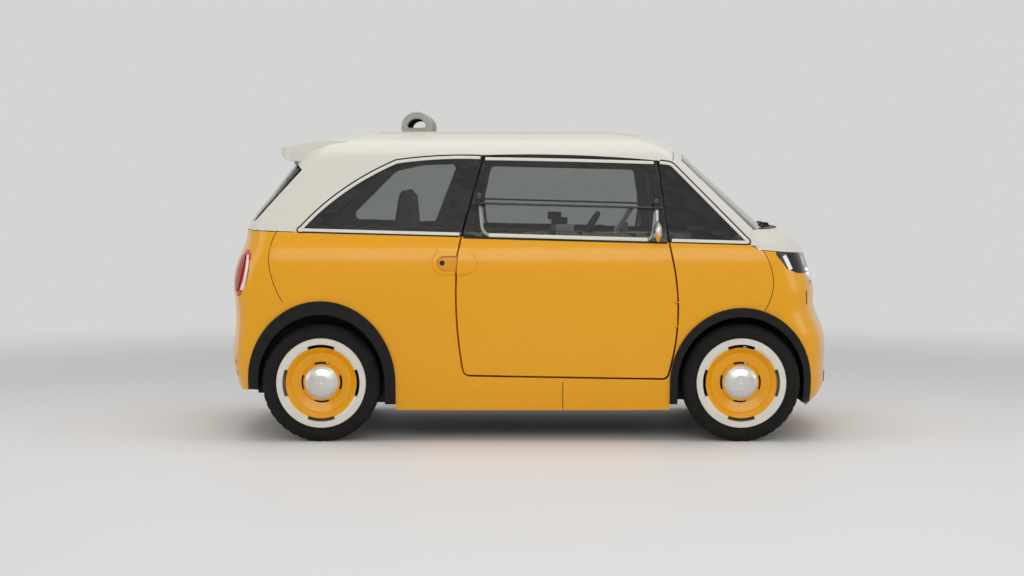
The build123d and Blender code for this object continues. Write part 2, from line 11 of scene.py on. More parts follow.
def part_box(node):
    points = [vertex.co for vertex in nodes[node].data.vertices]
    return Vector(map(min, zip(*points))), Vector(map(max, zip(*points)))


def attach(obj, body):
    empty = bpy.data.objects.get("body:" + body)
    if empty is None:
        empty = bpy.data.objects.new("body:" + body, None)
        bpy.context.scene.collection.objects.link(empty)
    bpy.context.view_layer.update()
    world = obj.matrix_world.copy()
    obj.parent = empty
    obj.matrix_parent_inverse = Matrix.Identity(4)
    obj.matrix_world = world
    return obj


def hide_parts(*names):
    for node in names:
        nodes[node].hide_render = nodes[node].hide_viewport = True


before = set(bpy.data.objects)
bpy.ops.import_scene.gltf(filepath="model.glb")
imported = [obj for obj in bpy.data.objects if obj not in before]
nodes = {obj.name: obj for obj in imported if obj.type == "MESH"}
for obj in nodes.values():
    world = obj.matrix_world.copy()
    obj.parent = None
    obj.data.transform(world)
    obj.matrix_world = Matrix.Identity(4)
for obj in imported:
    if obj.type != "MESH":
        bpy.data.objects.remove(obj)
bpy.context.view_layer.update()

CORNERS = ("front_right", "front_left", "rear_right", "rear_left")
FORWARD = Vector((1.0, 0.0, 0.0))
LEFTWARD = Vector((0.0, 1.0, 0.0))
UPWARD = Vector((0.0, 0.0, 1.0))


def middle(node):
    """The centre of a CAD node's box."""
    low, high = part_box(node)
    return (low + high) / 2


# Sizes read from the frame or chosen, in metres
WHEEL_CENTRES = {corner: middle(f"tyre_{corner}") for corner in CORNERS}
TYRE_R = (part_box("tyre_front_right")[1].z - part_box("tyre_front_right")[0].z) / 2
TYRE_HALF = (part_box("tyre_front_right")[1].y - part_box("tyre_front_right")[0].y) / 2
DISH_R = 0.171

# Camera read from the photograph: distance, eye height and pitch
CAMERA_PLACE = Vector((-0.0865, -10.735, 1.307))
CAMERA_PITCH = math.radians(3.27)
CAMERA_LENS = 74.4
CAMERA_SENSOR = 36.0


# Shader node groups
BUMP_INPUTS = {"Scale": "Float", "Strength": "Float"}
BUMP_OUTPUTS = {"Normal": "Vector"}
GRAIN_DEPTH = 0.001
THREAD_DEPTH = 0.0015


def new_group(name, inputs, outputs):
    """An empty shader group with named sockets, and its input and output nodes."""
    group = bpy.data.node_groups.new(name, "ShaderNodeTree")
    for label, kind in inputs.items():
        group.interface.new_socket(label, in_out="INPUT", socket_type=f"NodeSocket{kind}")
    for label, kind in outputs.items():
        group.interface.new_socket(label, in_out="OUTPUT", socket_type=f"NodeSocket{kind}")
    return group, group.nodes.new("NodeGroupInput"), group.nodes.new("NodeGroupOutput")


def grain_group():
    """A fine bump for paint, plastic and rubber, set by its scale and strength."""
    group, inputs, outputs = new_group("fine_grain", BUMP_INPUTS, BUMP_OUTPUTS)
    place = group.nodes.new("ShaderNodeTexCoord")
    speckle = group.nodes.new("ShaderNodeTexNoise")
    speckle.inputs["Detail"].default_value = 3.0
    bump = group.nodes.new("ShaderNodeBump")
    bump.inputs["Distance"].default_value = GRAIN_DEPTH
    group.links.new(place.outputs["Object"], speckle.inputs["Vector"])
    group.links.new(inputs.outputs["Scale"], speckle.inputs["Scale"])
    group.links.new(inputs.outputs["Strength"], bump.inputs["Strength"])
    group.links.new(speckle.outputs["Fac"], bump.inputs["Height"])
    group.links.new(bump.outputs["Normal"], outputs.inputs["Normal"])
    return group


def mottle_group():
    """A soft drift between two colours and two roughnesses."""
    group, inputs, outputs = new_group(
        "mottle",
        {"Base": "Color", "Tint": "Color", "Scale": "Float", "Low": "Float", "High": "Float"},
        {"Colour": "Color", "Roughness": "Float"})
    place = group.nodes.new("ShaderNodeTexCoord")
    cloud = group.nodes.new("ShaderNodeTexNoise")
    cloud.inputs["Detail"].default_value = 5.0
    drift = group.nodes.new("ShaderNodeMapRange")
    drift.inputs["From Min"].default_value = 0.3
    drift.inputs["From Max"].default_value = 0.7
    blend = group.nodes.new("ShaderNodeMix")
    blend.data_type = "RGBA"
    spread = group.nodes.new("ShaderNodeMapRange")
    group.links.new(place.outputs["Object"], cloud.inputs["Vector"])
    group.links.new(inputs.outputs["Scale"], cloud.inputs["Scale"])
    group.links.new(cloud.outputs["Fac"], drift.inputs["Value"])
    group.links.new(drift.outputs["Result"], blend.inputs["Factor"])
    group.links.new(inputs.outputs["Base"], blend.inputs["A"])
    group.links.new(inputs.outputs["Tint"], blend.inputs["B"])
    group.links.new(drift.outputs["Result"], spread.inputs["Value"])
    group.links.new(inputs.outputs["Low"], spread.inputs["To Min"])
    group.links.new(inputs.outputs["High"], spread.inputs["To Max"])
    group.links.new(blend.outputs["Result"], outputs.inputs["Colour"])
    group.links.new(spread.outputs["Result"], outputs.inputs["Roughness"])
    return group


def weave_group():
    """Crossing threads as a bump, set by the thread count and strength."""
    group, inputs, outputs = new_group("weave", BUMP_INPUTS, BUMP_OUTPUTS)
    place = group.nodes.new("ShaderNodeTexCoord")
    total = None
    for axis in ("X", "Y", "Z"):
        thread = group.nodes.new("ShaderNodeTexWave")
        thread.bands_direction = axis
        thread.inputs["Distortion"].default_value = 0.6
        group.links.new(place.outputs["Object"], thread.inputs["Vector"])
        group.links.new(inputs.outputs["Scale"], thread.inputs["Scale"])
        if total is None:
            total = thread.outputs["Fac"]
            continue
        cross = group.nodes.new("ShaderNodeMath")
        cross.operation = "ADD"
        group.links.new(total, cross.inputs[0])
        group.links.new(thread.outputs["Fac"], cross.inputs[1])
        total = cross.outputs["Value"]
    bump = group.nodes.new("ShaderNodeBump")
    bump.inputs["Distance"].default_value = THREAD_DEPTH
    group.links.new(inputs.outputs["Strength"], bump.inputs["Strength"])
    group.links.new(total, bump.inputs["Height"])
    group.links.new(bump.outputs["Normal"], outputs.inputs["Normal"])
    return group


GRAIN = grain_group()
MOTTLE = mottle_group()
WEAVE = weave_group()


# Materials
COAT_ROUGHNESS = 0.04


def plain_material(name, colour, roughness, metallic=0.0, coat=0.0, transmission=0.0, gloss=0.5):
    """A principled material with plain values."""
    made = bpy.data.materials.new(name)
    made.use_nodes = True
    shader = made.node_tree.nodes["Principled BSDF"]
    shader.inputs["Base Color"].default_value = (*colour, 1.0)
    shader.inputs["Roughness"].default_value = roughness
    shader.inputs["Metallic"].default_value = metallic
    shader.inputs["Specular IOR Level"].default_value = gloss
    shader.inputs["Coat Weight"].default_value = coat
    shader.inputs["Coat Roughness"].default_value = COAT_ROUGHNESS
    shader.inputs["Transmission Weight"].default_value = transmission
    return made


def add_bump(made, group, scale, strength):
    """Feeds a material's normal from a bump group."""
    tree = made.node_tree
    bump = tree.nodes.new("ShaderNodeGroup")
    bump.node_tree = group
    bump.inputs["Scale"].default_value = scale
    bump.inputs["Strength"].default_value = strength
    tree.links.new(bump.outputs["Normal"], tree.nodes["Principled BSDF"].inputs["Normal"])


def add_mottle(made, colour, tint, scale, rough):
    """Feeds a material's colour and roughness from the mottle group, and returns the group's node."""
    tree = made.node_tree
    drift = tree.nodes.new("ShaderNodeGroup")
    drift.node_tree = MOTTLE
    drift.inputs["Base"].default_value = (*colour, 1.0)
    drift.inputs["Tint"].default_value = (*tint, 1.0)
    drift.inputs["Scale"].default_value = scale
    drift.inputs["Low"].default_value = rough[0]
    drift.inputs["High"].default_value = rough[1]
    shader = tree.nodes["Principled BSDF"]
    tree.links.new(drift.outputs["Colour"], shader.inputs["Base Color"])
    tree.links.new(drift.outputs["Roughness"], shader.inputs["Roughness"])
    return drift


def material(name, colour, tint, scale, rough, grain=None, weave=None, **looks):
    """A finish whose colour and roughness drift between two values each, with a fine grain or a weave."""
    made = plain_material(name, colour, rough[0], **looks)
    add_mottle(made, colour, tint, scale, rough)
    if grain:
        add_bump(made, GRAIN, *grain)
    if weave:
        add_bump(made, WEAVE, *weave)
    return made


YELLOW_RGB = (0.86, 0.390, 0.002)
YELLOW_DEEP = (0.845, 0.378, 0.002)
CREAM_RGB = (0.74, 0.715, 0.635)
CREAM_DEEP = (0.728, 0.701, 0.619)
BODY_DRIFT = 2.5
WHEEL_DRIFT = 8.0
PAINT_ROUGH = (0.26, 0.34)
PAINT = {"grain": (260.0, 0.02), "coat": 0.3, "gloss": 0.28}
MOULDED = (900.0, 0.15)
PILE = (1800.0, 0.8)
TYRE_GRAIN = (500.0, 0.25)

yellow = material("yellow_paint", YELLOW_RGB, YELLOW_DEEP, BODY_DRIFT, PAINT_ROUGH, **PAINT)
cream = material("cream_paint", CREAM_RGB, CREAM_DEEP, BODY_DRIFT, PAINT_ROUGH, **PAINT)
glass = plain_material("tinted_glass", (0.48, 0.50, 0.49), 0.0, transmission=1.0)
black = material("black_plastic", (0.009, 0.009, 0.009), (0.015, 0.014, 0.013), 30.0, (0.38, 0.52),
                 grain=MOULDED, gloss=0.15)
gloss_black = material("gloss_black", (0.006, 0.006, 0.006), (0.009, 0.009, 0.010), 20.0, (0.08, 0.14),
                       coat=0.15, gloss=0.25)
# Grey plastic on the dashboard; on the drop window's arms the same grey is painted shade on a cream bead
grey = material("grey_plastic", (0.30, 0.30, 0.29), (0.34, 0.335, 0.32), 25.0, (0.45, 0.58), grain=MOULDED)
pale_plastic = material("pale_plastic", (0.60, 0.60, 0.58), (0.65, 0.645, 0.62), 25.0, (0.40, 0.52),
                        grain=MOULDED)
carpet = material("floor_carpet", (0.022, 0.022, 0.023), (0.040, 0.039, 0.038), 60.0, (0.85, 0.95),
                  grain=PILE)
dark_metal = material("dark_metal", (0.08, 0.08, 0.085), (0.12, 0.115, 0.11), 18.0, (0.35, 0.55),
                      metallic=0.8)
rail_metal = material("rail_metal", (0.035, 0.035, 0.036), (0.05, 0.05, 0.05), 30.0, (0.14, 0.24),
                      metallic=0.6)
chrome = material("chrome", (0.80, 0.80, 0.79), (0.74, 0.74, 0.73), 14.0, (0.04, 0.10), metallic=1.0)
rubber = material("rubber", (0.007, 0.007, 0.007), (0.016, 0.015, 0.014), 22.0, (0.66, 0.80),
                  grain=TYRE_GRAIN, gloss=0.15)
red_lens = material("red_lens", (0.62, 0.016, 0.008), (0.48, 0.010, 0.006), 40.0, (0.06, 0.10), coat=0.6)
deep_red = material("deep_red_lens", (0.40, 0.008, 0.005), (0.30, 0.006, 0.004), 40.0, (0.08, 0.12), coat=0.6)
white_lamp = material("white_lamp", (0.88, 0.88, 0.87), (0.80, 0.80, 0.80), 60.0, (0.14, 0.22), coat=0.5)
screen = material("display_glass", (0.012, 0.014, 0.018), (0.020, 0.022, 0.026), 12.0, (0.06, 0.10), coat=0.4)
seat_cloth = material("seat_cloth", (0.085, 0.085, 0.08), (0.13, 0.127, 0.118), 35.0, (0.82, 0.92),
                      weave=(420.0, 0.5))
canvas = material("canvas", (0.47, 0.465, 0.43), (0.54, 0.53, 0.49), 16.0, (0.72, 0.85), weave=(300.0, 0.4))

CAP_RGB = (0.66, 0.65, 0.62)
CAP_ROUGH = (0.20, 0.36)
BRUSH_STRETCH = (6.0, 6.0, 900.0)


def cap_material(corner):
    """Satin hub cap metal, brushed straight across its face."""
    made = plain_material(f"brushed_cap_{corner}", CAP_RGB, 0.26, metallic=1.0)
    tree = made.node_tree
    place = tree.nodes.new("ShaderNodeTexCoord")
    stretch = tree.nodes.new("ShaderNodeMapping")
    stretch.inputs["Scale"].default_value = BRUSH_STRETCH
    strokes = tree.nodes.new("ShaderNodeTexNoise")
    strokes.inputs["Scale"].default_value = 1.0
    strokes.inputs["Detail"].default_value = 4.0
    spread = tree.nodes.new("ShaderNodeMapRange")
    spread.inputs["To Min"].default_value = CAP_ROUGH[0]
    spread.inputs["To Max"].default_value = CAP_ROUGH[1]
    tree.links.new(place.outputs["Object"], stretch.inputs["Vector"])
    tree.links.new(stretch.outputs["Vector"], strokes.inputs["Vector"])
    tree.links.new(strokes.outputs["Fac"], spread.inputs["Value"])
    tree.links.new(spread.outputs["Result"], tree.nodes["Principled BSDF"].inputs["Roughness"])
    return made


def wheel_material(corner):
    """The painted wheel: a yellow dish within a cream ring, split by the distance from its axle."""
    made = material(f"wheel_paint_{corner}", YELLOW_RGB, YELLOW_DEEP, WHEEL_DRIFT, PAINT_ROUGH, **PAINT)
    tree = made.node_tree
    shader = tree.nodes["Principled BSDF"]
    dish = shader.inputs["Base Color"].links[0].from_node
    ring = add_mottle(made, CREAM_RGB, CREAM_DEEP, WHEEL_DRIFT, PAINT_ROUGH)
    place = tree.nodes.new("ShaderNodeTexCoord")
    centre = tree.nodes.new("ShaderNodeVectorMath")
    centre.operation = "SUBTRACT"
    centre.inputs[1].default_value = WHEEL_CENTRES[corner]
    flat = tree.nodes.new("ShaderNodeVectorMath")
    flat.operation = "MULTIPLY"
    flat.inputs[1].default_value = (1.0, 0.0, 1.0)
    length = tree.nodes.new("ShaderNodeVectorMath")
    length.operation = "LENGTH"
    beyond = tree.nodes.new("ShaderNodeMath")
    beyond.operation = "GREATER_THAN"
    beyond.inputs[1].default_value = DISH_R
    mix = tree.nodes.new("ShaderNodeMix")
    mix.data_type = "RGBA"
    tree.links.new(place.outputs["Object"], centre.inputs[0])
    tree.links.new(centre.outputs["Vector"], flat.inputs[0])
    tree.links.new(flat.outputs["Vector"], length.inputs[0])
    tree.links.new(length.outputs["Value"], beyond.inputs[0])
    tree.links.new(beyond.outputs["Value"], mix.inputs["Factor"])
    tree.links.new(dish.outputs["Colour"], mix.inputs["A"])
    tree.links.new(ring.outputs["Colour"], mix.inputs["B"])
    tree.links.new(mix.outputs["Result"], shader.inputs["Base Color"])
    return made


# Finishes of the CAD nodes
FINISHES = {
    yellow: ("quarter_panel_right", "quarter_panel_left", "front_wing_right", "front_wing_left",
             "front_bumper", "rear_bumper", "door_panel_right", "door_panel_left"),
    cream: ("roof_panel", "windscreen_frame", "front_hood", "sunroof_frame"),
    glass: ("windscreen", "side_windows", "door_window_right", "door_window_left", "tailgate_glass"),
    black: ("window_frames", "door_frame_right", "door_frame_left", "tailgate_frame", "cowl_panel",
            "arch_trims", "wheel_liners", "steering_column", "steering_wheel"),
    gloss_black: ("headlamps",),
    grey: ("dashboard",),
    pale_plastic: ("display_panel",),
    carpet: ("floorpan",),
    dark_metal: ("front_axle", "rear_axle", "knuckle_right", "knuckle_left", "battery_pack",
                 "drive_motor"),
    rail_metal: ("window_rail_right", "window_rail_left"),
    chrome: ("mirror_right", "mirror_left", "round_lamps"),
    red_lens: ("tail_lamps",),
}


def finish_node(name, surface):
    """Gives a CAD node its material."""
    mesh = nodes[name].data
    mesh.materials.clear()
    mesh.materials.append(surface)


for surface, names in FINISHES.items():
    for name in names:
        finish_node(name, surface)
for corner in CORNERS:
    finish_node(f"wheel_{corner}", wheel_material(corner))
    finish_node(f"hub_cap_{corner}", cap_material(corner))


# Mesh helpers
SHARP_ANGLE = math.radians(35)
MERGE_DISTANCE = 1e-6
ROUND_STEPS = 32


def piece(name, mesh, surface, body, rounding=0):
    """Makes an object from a bmesh, with its finish, riding on a CAD body."""
    bmesh.ops.recalc_face_normals(mesh, faces=mesh.faces)
    data = bpy.data.meshes.new(name)
    mesh.to_mesh(data)
    mesh.free()
    data.materials.append(surface)
    data.polygons.foreach_set("use_smooth", [True] * len(data.polygons))
    if not rounding:
        data.set_sharp_from_angle(angle=SHARP_ANGLE)
    made = bpy.data.objects.new(name, data)
    bpy.context.scene.collection.objects.link(made)
    if rounding:
        soften = made.modifiers.new("rounding", "SUBSURF")
        soften.levels = rounding
        soften.render_levels = rounding
    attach(made, body)
    return made


def mirrored(mesh):
    """A copy of a bmesh on the car's other side."""
    copy = mesh.copy()
    bmesh.ops.scale(copy, vec=(1.0, -1.0, 1.0), verts=copy.verts)
    bmesh.ops.reverse_faces(copy, faces=copy.faces)
    return copy


def both_sides(name, mesh, surface, door=False, rounding=0):
    """A right piece and its mirror image, on the body or on the doors."""
    other = mirrored(mesh)
    owners = ("door_right", "door_left") if door else ("body", "body")
    right = piece(f"{name}_right", mesh, surface, owners[0], rounding)
    left = piece(f"{name}_left", other, surface, owners[1], rounding)
    return right, left


def only(items, kind):
    """Those of some mesh items that are of one kind."""
    return [item for item in items if isinstance(item, kind)]


def bevel_edges(mesh, edges, offset, segments=3):
    """Rounds some edges."""
    bmesh.ops.bevel(
        mesh, geom=edges, offset=offset, segments=segments, profile=0.5, affect="EDGES", material=-1)


def thicken(mesh, thickness):
    """Makes a sheet into a plate."""
    bmesh.ops.recalc_face_normals(mesh, faces=mesh.faces)
    bmesh.ops.solidify(mesh, geom=mesh.faces[:], thickness=thickness)


def search_tree(*names):
    """A search tree over some CAD nodes."""
    points, faces = [], []
    for name in names:
        mesh = nodes[name].data
        start = len(points)
        points += [vertex.co.copy() for vertex in mesh.vertices]
        faces += [[start + i for i in polygon.vertices] for polygon in mesh.polygons]
    return BVHTree.FromPolygons(points, faces)


# Rays at the skin start far out, and in a gap between panels they look round for a neighbour
FAR = 2.0
GAP_STEPS = (0.0, -0.009, 0.009, -0.018, 0.018)
GAP_RISES = (0.0, 0.012, -0.012)
NEAR_SIDE_Y = -0.2
FACES_OUT = -0.2
SKIN = search_tree(
    "quarter_panel_right", "front_wing_right", "front_bumper", "rear_bumper", "door_panel_right",
    "roof_panel", "windscreen_frame", "side_windows", "door_window_right", "headlamps", "front_hood",
    "tail_lamps")


def on_skin(x, z):
    """The right skin's point and outward normal at a side view place, or None."""
    for step in GAP_STEPS:
        for rise in GAP_RISES:
            hit, normal, _, _ = SKIN.ray_cast(Vector((x + step, -FAR, z + rise)), LEFTWARD)
            if hit and hit.y < NEAR_SIDE_Y and normal.y < FACES_OUT:
                return Vector((x, hit.y, z)), normal
    return None


def resample(path, spacing):
    """Points evenly along a path."""
    points = [Vector(p) for p in path]
    out = [points[0]]
    for start, end in zip(points, points[1:]):
        count = max(1, round((end - start).length / spacing))
        out += [start.lerp(end, i / count) for i in range(1, count + 1)]
    return out


def rounded(path, radius, steps=6):
    """A path with its inner corners turned into arcs."""
    points = [Vector(p) for p in path]
    out = [points[0]]
    for before, corner, after in zip(points, points[1:], points[2:]):
        start = corner + (before - corner).normalized() * min(radius, (before - corner).length / 2)
        end = corner + (after - corner).normalized() * min(radius, (after - corner).length / 2)
        for i in range(steps + 1):
            t = i / steps
            out.append(start.lerp(corner, t).lerp(corner.lerp(end, t), t))
    out.append(points[-1])
    return out


def bow(start, via, end, steps=24):
    """A curve through three points."""
    start, via, end = Vector(start), Vector(via), Vector(end)
    control = via * 2 - (start + end) / 2
    shares = [i / steps for i in range(steps + 1)]
    return [start.lerp(control, t).lerp(control.lerp(end, t), t) for t in shares]


def swept(outline, places):
    """Carries an outline along places by extruding it; a place is a point, a sideways and a lifting way."""
    mesh = bmesh.new()
    point, side, lift = places[0]
    tip = mesh.faces.new([mesh.verts.new(point + side * s + lift * h) for s, h in outline])
    for index, (point, side, lift) in enumerate(places[1:]):
        drawn = bmesh.ops.extrude_face_region(mesh, geom=[tip])["geom"]
        front = only(drawn, bmesh.types.BMFace)[0]
        if index:
            bmesh.ops.delete(mesh, geom=[tip], context="FACES_ONLY")
        for vertex, (s, h) in zip(front.verts, outline):
            vertex.co = point + side * s + lift * h
        tip = front
    return mesh


def bead_outline(width, proud, sink):
    """The section of a bead with rounded shoulders."""
    half = width / 2
    flank = [(half, -sink), (half, proud * 0.5), (half * 0.6, proud)]
    return [(-side, lift) for side, lift in flank] + flank[::-1]


def along_places(points_and_normals):
    """Turns points with normals into places for an outline to be carried along."""
    places = []
    last = len(points_and_normals) - 1
    for i, (point, normal) in enumerate(points_and_normals):
        ahead = points_and_normals[min(i + 1, last)][0]
        behind = points_and_normals[max(i - 1, 0)][0]
        side = (ahead - behind).cross(normal).normalized()
        places.append((point, side, normal))
    return places


BEAD_SINK = 0.002


def strip(name, path, width, proud, surface, door=False, spacing=0.016):
    """A bead laid along a side view path on both sides of the car."""
    found = [on_skin(p.x, p.y) for p in resample(path, spacing)]
    places = along_places([spot for spot in found if spot])
    return both_sides(name, swept(bead_outline(width, proud, BEAD_SINK), places), surface, door)


def end_strip(name, node, towards, path, width, proud, surface, spacing=0.008):
    """A bead on both sides of a CAD node's front or rear, laid along a path of y and z places."""
    tree = search_tree(node)
    found = []
    for spot in resample(path, spacing):
        hit, normal, _, _ = tree.ray_cast(Vector((-FAR * towards.x, spot.x, spot.y)), towards)
        if hit:
            found.append((hit, normal))
    mesh = swept(bead_outline(width, proud, BEAD_SINK), along_places(found))
    return both_sides(name, mesh, surface)


def turned(place, axis, profile, steps=48, closed=False):
    """Spins a profile of radius and height pairs about an axis through a place."""
    axis = axis.normalized()
    side = axis.orthogonal().normalized()
    mesh = bmesh.new()
    points = [mesh.verts.new(place + side * radius + axis * height) for radius, height in profile]
    edges = [mesh.edges.new(pair) for pair in zip(points, points[1:])]
    if closed:
        edges.append(mesh.edges.new((points[-1], points[0])))
    bmesh.ops.spin(
        mesh, geom=points + edges, cent=place, axis=axis, angle=2 * math.pi, steps=steps, use_merge=True)
    bmesh.ops.remove_doubles(mesh, verts=mesh.verts, dist=MERGE_DISTANCE)
    return mesh


# A button's section, as shares of its radius and height
BUTTON_SECTION = ((1.0, -1.0), (1.0, 0.5), (0.92, 0.8), (0.8, 0.8), (0.74, 0.5), (0.5, 0.8), (0.25, 0.95),
                  (0.0, 1.0))


def button(place, normal, radius, height):
    """A low round button with a lip and a crowned middle."""
    profile = [(radius * wide, height * tall) for wide, tall in BUTTON_SECTION]
    return turned(place, normal, profile, ROUND_STEPS)


def block(low, high, bevel):
    """A box between two corners with rounded edges."""
    low, high = Vector(low), Vector(high)
    mesh = bmesh.new()
    bmesh.ops.create_cube(mesh, size=1.0)
    bmesh.ops.scale(mesh, vec=high - low, verts=mesh.verts)
    bmesh.ops.translate(mesh, vec=(low + high) / 2, verts=mesh.verts)
    bevel_edges(mesh, mesh.edges[:], bevel)
    return mesh


def inlay(tree, towards, centre, half_wide, half_tall, lift, thick):
    """An oval plate that follows a surface, found by rays from the front or rear; centre is y and z."""
    mesh = bmesh.new()
    bmesh.ops.create_grid(mesh, x_segments=14, y_segments=22, size=1.0)
    for vertex in mesh.verts:
        u, v = vertex.co.x, vertex.co.y
        wide = u * math.sqrt(1 - v * v / 2) * half_wide
        tall = v * math.sqrt(1 - u * u / 2) * half_tall
        start = Vector((-FAR * towards.x, centre[0] + wide, centre[1] + tall))
        hit, normal, _, _ = tree.ray_cast(start, towards)
        vertex.co = hit + normal * lift if hit else Vector((-towards.x, start.y, start.z))
    thicken(mesh, thick)
    return mesh


# Window line: a cream bead with a black seal outside it, round the side glass
BEAD_WIDTH = 0.015
BEAD_PROUD = 0.003
SEAL_WIDTH = 0.007
SEAL_PROUD = 0.0015
SILL_WIDTH = 0.018
SILL_PROUD = 0.005
ARM_WIDTH = 0.014
ARM_PROUD = 0.004
ARM_SPACING = 0.012
BELT_SEAL_WIDTH = 0.010
BELT_SEAL_PROUD = 0.002
REAR_TOP = bow((-0.238, 1.352), (-0.44, 1.3505), (-0.640, 1.331))
REAR_ARC = bow((-0.640, 1.331), (-0.887, 1.1935), (-1.086, 1.018))
REAR_CORNER = bow((-1.086, 1.018), (-1.098, 1.0075), (-1.082, 1.0085))
REAR_LOOP = REAR_TOP + REAR_ARC[1:] + REAR_CORNER[1:] + [Vector((-0.336, 0.9895))]
FRONT_CORNER = bow((1.022, 0.967), (1.034, 0.953), (1.014, 0.9505))
FRONT_LOOP = rounded([(0.622, 1.329), (0.676, 1.323), (1.022, 0.967)], 0.02) + FRONT_CORNER[1:]
FRONT_LOOP += [Vector((0.672, 0.960))]
DOOR_TOP = bow((-0.214, 1.347), (0.19, 1.3395), (0.592, 1.328))
DOOR_SILL = [Vector((-0.318, 0.974)), Vector((0.648, 0.9485))]
PANE_FOOT = [Vector((-0.196, 0.9848)), Vector((0.556, 0.9632))]
PANE_REAR_ARM = rounded([(-0.240, 1.135), (-0.226, 0.986), (-0.15, 0.9835)], 0.05)
PANE_FRONT_ARM = rounded([(0.52, 0.9643), (0.580, 0.9625), (0.596, 1.095)], 0.05)
RAIL_KNOBS = {"rear": (-0.243, 1.163), "front": (0.601, 1.136)}
KNOB_SECTION = ((0.008, -0.002), (0.008, 0.006), (0.014, 0.010), (0.0165, 0.016), (0.0145, 0.023),
                (0.008, 0.028), (0.0, 0.029))
PILLAR_SHADE = ((-0.455, 1.040), (-0.345, 1.010), (-0.250, 1.332), (-0.3475, 1.325))
SHADE_DEPTH = 0.0075
SHADE_THICK = 0.0015


def outset(path, distance):
    """A side view path moved to its right by a distance, or to its left where that is negative."""
    moved = []
    for i, point in enumerate(path):
        along = (path[min(i + 1, len(path) - 1)] - path[max(i - 1, 0)]).normalized()
        moved.append(point + Vector((along.y, -along.x)) * distance)
    return moved


def window_line():
    """The beads and seals round the glass, the arms of the drop window (grey as painted shade on the cream
    bead's upright runs), its knobs, and the sill beads.
    """
    step = (BEAD_WIDTH + SEAL_WIDTH) / 2
    loops = {"rear_window": (REAR_LOOP, step, False), "front_window": (FRONT_LOOP, -step, False),
             "door_top": (DOOR_TOP, -step, True)}
    for name, (path, outward, door) in loops.items():
        strip(f"{name}_bead", path, BEAD_WIDTH, BEAD_PROUD, cream, door)
        beside = outset(path, outward)
        strip(f"{name}_seal", beside, SEAL_WIDTH, SEAL_PROUD, black, door)
    strip("pane_foot_bead", PANE_FOOT, SILL_WIDTH, SILL_PROUD, cream, True)
    # The arms are the cream bead's upright runs, painted grey for the shade they fall in
    for name, path in (("pane_rear_arm", PANE_REAR_ARM), ("pane_front_arm", PANE_FRONT_ARM)):
        strip(name, path, ARM_WIDTH, ARM_PROUD, grey, True, ARM_SPACING)
    strip("door_belt_seal", DOOR_SILL, BELT_SEAL_WIDTH, BELT_SEAL_PROUD, black, True)
    for end, (x, z) in RAIL_KNOBS.items():
        place, normal = on_skin(x, z)
        knob = turned(place, normal, KNOB_SECTION, ROUND_STEPS)
        both_sides(f"rail_knob_{end}", knob, rail_metal, True)


def pillar_shade():
    """A dark border behind the rear side glass, slanted beside the door."""
    low_rear, low_front, high_front, high_rear = (Vector(p) for p in PILLAR_SHADE)
    mesh = bmesh.new()
    bmesh.ops.create_grid(mesh, x_segments=8, y_segments=20, size=0.5)
    for vertex in mesh.verts:
        u, v = vertex.co.x + 0.5, vertex.co.y + 0.5
        spot = low_rear.lerp(low_front, u).lerp(high_rear.lerp(high_front, u), v)
        place, normal = on_skin(spot.x, spot.y)
        vertex.co = place - normal * SHADE_DEPTH
    thicken(mesh, SHADE_THICK)
    both_sides("pillar_shade", mesh, black)


window_line()
pillar_shade()


# Panel lines: thin dark seams where fixed panels meet
SEAMS = {
    "rear_seam": bow((-1.203, 1.006), (-1.2405, 0.850), (-1.176, 0.668)),
    "front_seam": bow((1.107, 0.910), (1.1535, 0.765), (1.114, 0.627)),
    "sill_seam": [(0.155, 0.286), (0.155, 0.156)],
    "tail_belt_seam": [(-1.125, 0.9985), (-1.36, 1.006)],
    "hood_seam": [(1.052, 0.936), (1.085, 0.914), (1.16, 0.9075), (1.30, 0.8955)],
    "pillar_seam": bow((0.690, 1.378), (0.6895, 1.358), (0.684, 1.338), 6),
}
SEAM_WIDTH = 0.0035
SEAM_PROUD = 0.0006
SEAM_SPACING = 0.012
PILLAR_FOOT = [(1.0645, 0.997), (1.0615, 0.936)]
FOOT_COVER_WIDTH = 0.022
FOOT_COVER_PROUD = 0.0018
NOSE_SLOT = [(1.322, 0.714), (1.326, 0.650)]
SLOT_WIDTH = 0.012
SLOT_PROUD = 0.0008
SHORT_SPACING = 0.01


def panel_lines():
    """The seams, the cover over the joint at the pillar's foot, and the marker slot in the nose."""
    for name, path in SEAMS.items():
        strip(name, path, SEAM_WIDTH, SEAM_PROUD, gloss_black, spacing=SEAM_SPACING)
    strip("pillar_foot_cover", PILLAR_FOOT, FOOT_COVER_WIDTH, FOOT_COVER_PROUD, cream,
          spacing=SHORT_SPACING)
    strip("nose_slot", NOSE_SLOT, SLOT_WIDTH, SLOT_PROUD, gloss_black, spacing=SHORT_SPACING)


panel_lines()


# Tyres: a spun profile with grooves round it and blocks cut along both shoulders
RIM_R = 0.1925
WALL_R = 0.224
SHOULDER_R = 0.264
GROOVE_DEEP = 0.007
TREAD_RIBS = ((0.058, 0.036), (0.027, 0.005))
TYRE_TURNS = 120
BLOCKS_FROM_Y = 0.035
BLOCK_EVERY = 3
TREAD_CUT = 0.0025


